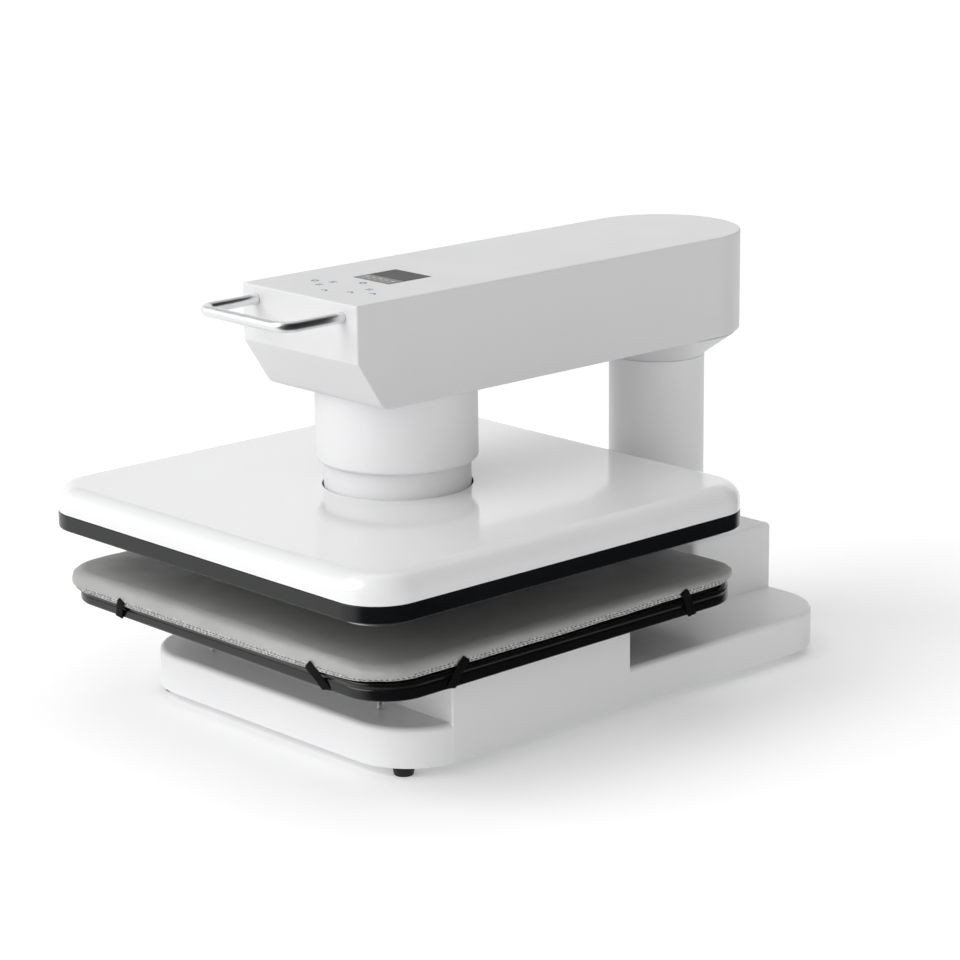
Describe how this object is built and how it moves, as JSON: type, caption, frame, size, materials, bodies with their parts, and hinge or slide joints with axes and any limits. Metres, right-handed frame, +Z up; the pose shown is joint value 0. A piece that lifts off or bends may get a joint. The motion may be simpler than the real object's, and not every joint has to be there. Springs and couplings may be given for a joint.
{
  "type": "heat press",
  "caption": "Swing-away heat press: a motor-driven square heated platen lowers from a swinging arm onto a fabric-covered pad on a low base.",
  "frame": {"origin": "on the surface the feet stand on, in the middle of the outline of the whole machine at rest", "axes": "+Z up, -Y towards the operator and the handle, +Y towards the column, +X to the operator's right"},
  "size_m": [0.4, 0.5606, 0.3392],
  "materials": {
    "white_paint": "satin white powder coat",
    "white_gloss": "glossy white moulded cover",
    "black_satin": "satin black moulded rim",
    "black_steel": "semi-gloss black paint",
    "grey_fabric": "grey coated heat-resistant cloth",
    "foam": "silicone sponge",
    "black_elastic": "woven black elastic",
    "rubber": "black rubber",
    "aluminium": "satin polished aluminium",
    "steel": "zinc plated steel",
    "polished_steel": "bright polished stud",
    "bronze": "machined bearing bronze",
    "insulation": "mineral fibre board",
    "black_glass": "dark display window",
    "board_green": "circuit board",
    "black_plastic": "black moulded plastic"
  },
  "bodies": {
    "base": {"base_shell": "white_paint", "base_plate": "steel", "column": "white_paint", "king_post": "steel", "thrust_washer": "bronze", "post_collar": "steel", "tray": "black_steel", "foam_pad": "foam", "pad_cover": "grey_fabric", "power_inlet": "black_plastic", "switch_housing": "black_plastic", "front_left_foot": "rubber", "front_right_foot": "rubber", "rear_left_foot": "rubber", "rear_right_foot": "rubber", "front_left_foot_screw": "steel", "front_right_foot_screw": "steel", "rear_left_foot_screw": "steel", "rear_right_foot_screw": "steel", "front_left_strap": "black_elastic", "front_right_strap": "black_elastic", "rear_left_strap": "black_elastic", "rear_right_strap": "black_elastic", "front_left_stud": "polished_steel", "front_right_stud": "polished_steel", "rear_left_stud": "polished_steel", "rear_right_stud": "polished_steel"},
    "rocker": {"power_rocker": "black_plastic"},
    "arm": {"arm_shell": "white_paint", "arm_bottom_cover": "white_paint", "swing_collar": "white_paint", "arm_beam": "steel", "swing_hub": "steel", "lower_swing_bush": "bronze", "upper_swing_bush": "bronze", "handle": "aluminium", "handle_nut_left": "steel", "handle_nut_right": "steel", "display_window": "black_glass", "control_board": "board_green", "power_supply": "aluminium", "cylinder_housing": "white_paint", "screw_bearing": "steel", "motor_bracket": "steel", "motor": "black_steel", "drive_belt": "rubber"},
    "head": {"ram_sleeve": "white_paint", "drive_nut": "bronze", "guide_rod_left": "steel", "guide_rod_right": "steel", "platen_cover": "white_gloss", "platen_rim": "black_satin", "heating_plate": "aluminium", "insulation_board": "insulation", "backing_plate": "steel", "thermostat": "aluminium"},
    "screw": {"lead_screw": "steel", "screw_pulley": "aluminium"},
    "motor_rotor": {"motor_shaft": "steel", "motor_pulley": "aluminium"}
  },
  "joints": [
    {"name": "arm_swing", "type": "hinge", "parent": "base", "child": "arm", "pos_m": [0, 0.2104, 0.234], "axis": [0, 0, 1], "range_deg": [-90, 90]},
    {"name": "head_press", "type": "slide", "parent": "arm", "child": "head", "axis": [0, 0, -1], "range_m": [0, 0.0306]},
    {"name": "screw_spin", "type": "hinge", "parent": "arm", "child": "screw", "pos_m": [0, -0.0803, 0.268], "axis": [0, 0, 1], "range_deg": [0, 1380]},
    {"name": "motor_spin", "type": "hinge", "parent": "arm", "child": "motor_rotor", "pos_m": [0, 0.0147, 0.268], "axis": [0, 0, 1], "range_deg": [0, 2760]},
    {"name": "power_rocker_tilt", "type": "hinge", "parent": "base", "child": "rocker", "pos_m": [0.062, 0.2541, 0.0678], "axis": [-1, 0, 0], "range_deg": [0, 16]}
  ],
  "couplings": [
    {"joint": "screw_spin", "follows": "head_press", "rad_per_m": 785.4},
    {"joint": "motor_spin", "follows": "head_press", "rad_per_m": 1570.8}
  ]
}
